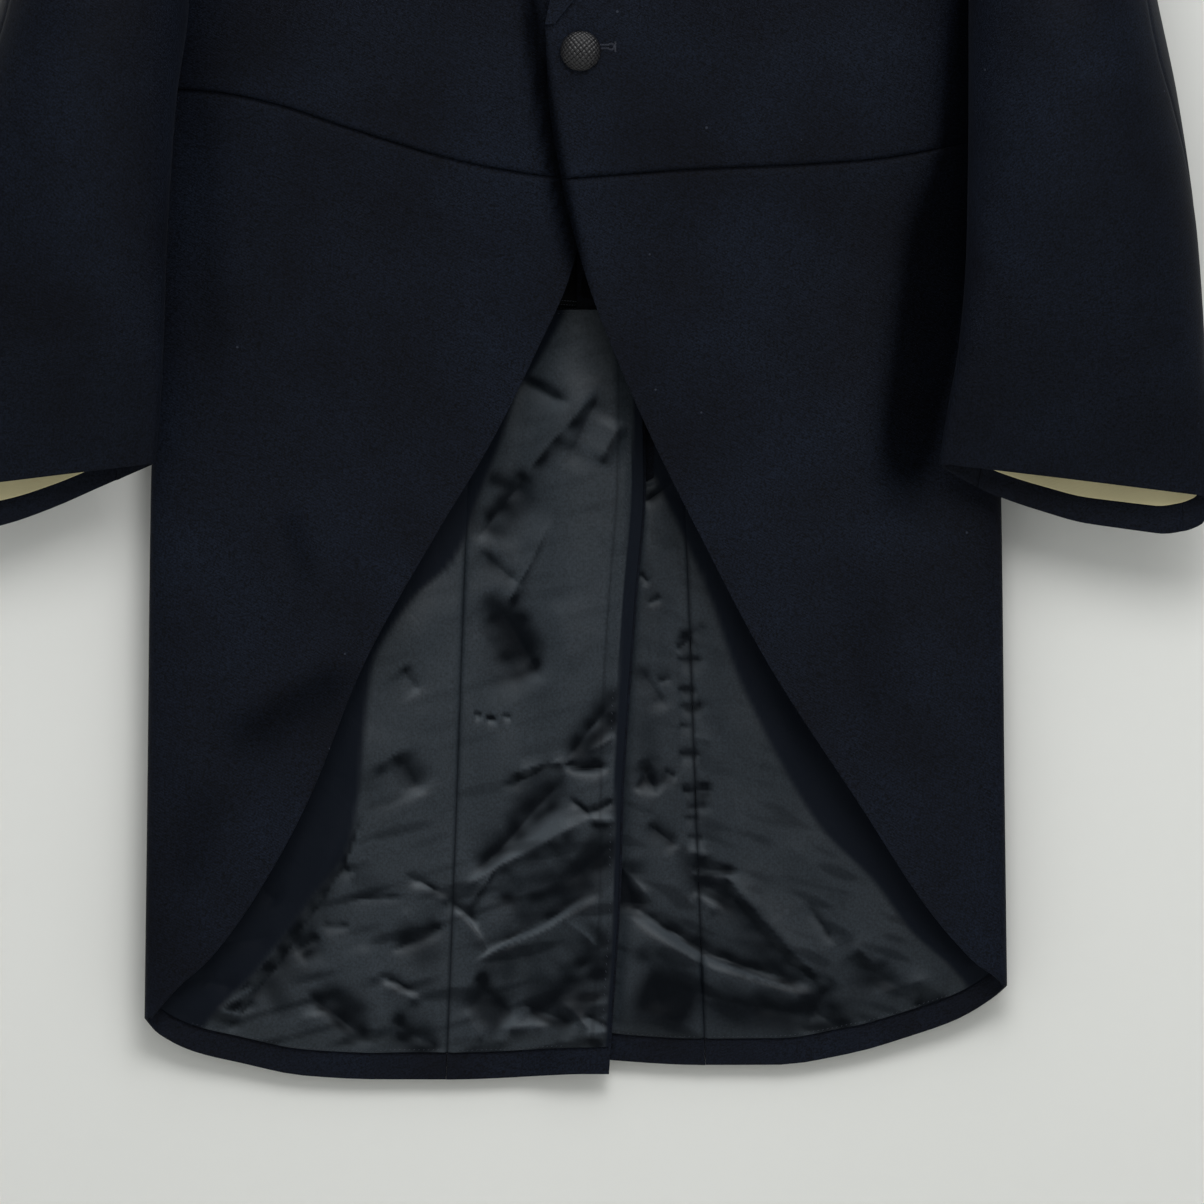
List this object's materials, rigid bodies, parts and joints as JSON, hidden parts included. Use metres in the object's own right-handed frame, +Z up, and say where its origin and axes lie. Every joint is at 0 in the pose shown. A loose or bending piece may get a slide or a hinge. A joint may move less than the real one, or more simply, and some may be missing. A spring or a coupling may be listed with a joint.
{
  "type": "morning coat on a hanger",
  "caption": "Cutaway morning coat with peaked lapels, covered buttons, a split back skirt and flared cuffs, hung flat on a wooden hanger by its wire hook.",
  "frame": {"origin": "the point at the inner top of the hanger's hook that bears on a rail", "axes": "+Z up, along the hanging coat; the coat's front faces -Y; the wearer's left is +X"},
  "size_m": [0.7258, 0.1557, 1.0989],
  "materials": {
    "worsted_wool": "fine midnight worsted wool, slightly matt",
    "charcoal_satin": "wrinkled charcoal satin lining",
    "body_lining": "smooth black lining twill",
    "ivory_sleeve_lining": "smooth ivory lining twill",
    "braided_silk": "basket-braided charcoal silk over a domed shell",
    "varnished_wood": "satin varnish",
    "plated_steel": "bright plated wire"
  },
  "bodies": {
    "root": {"forepart_left": "worsted_wool", "forepart_right": "worsted_wool", "sidebody_left": "worsted_wool", "sidebody_right": "worsted_wool", "back_left": "worsted_wool", "back_right": "worsted_wool", "skirt_left": "worsted_wool", "skirt_right": "worsted_wool", "topsleeve_left": "worsted_wool", "topsleeve_right": "worsted_wool", "undersleeve_left": "worsted_wool", "undersleeve_right": "worsted_wool", "lapel_left": "worsted_wool", "lapel_right": "worsted_wool", "collar": "worsted_wool", "back_lining_left": "charcoal_satin", "back_lining_right": "charcoal_satin", "skirt_lining_left": "charcoal_satin", "skirt_lining_right": "charcoal_satin", "body_lining_left": "body_lining", "body_lining_right": "body_lining", "sleeve_lining_left": "ivory_sleeve_lining", "sleeve_lining_right": "ivory_sleeve_lining", "front_button": "braided_silk", "cuff_button_left_1": "braided_silk", "cuff_button_left_2": "braided_silk", "cuff_button_left_3": "braided_silk", "cuff_button_right_1": "braided_silk", "cuff_button_right_2": "braided_silk", "cuff_button_right_3": "braided_silk", "hanger": "varnished_wood", "hook": "plated_steel"}
  },
  "joints": []
}
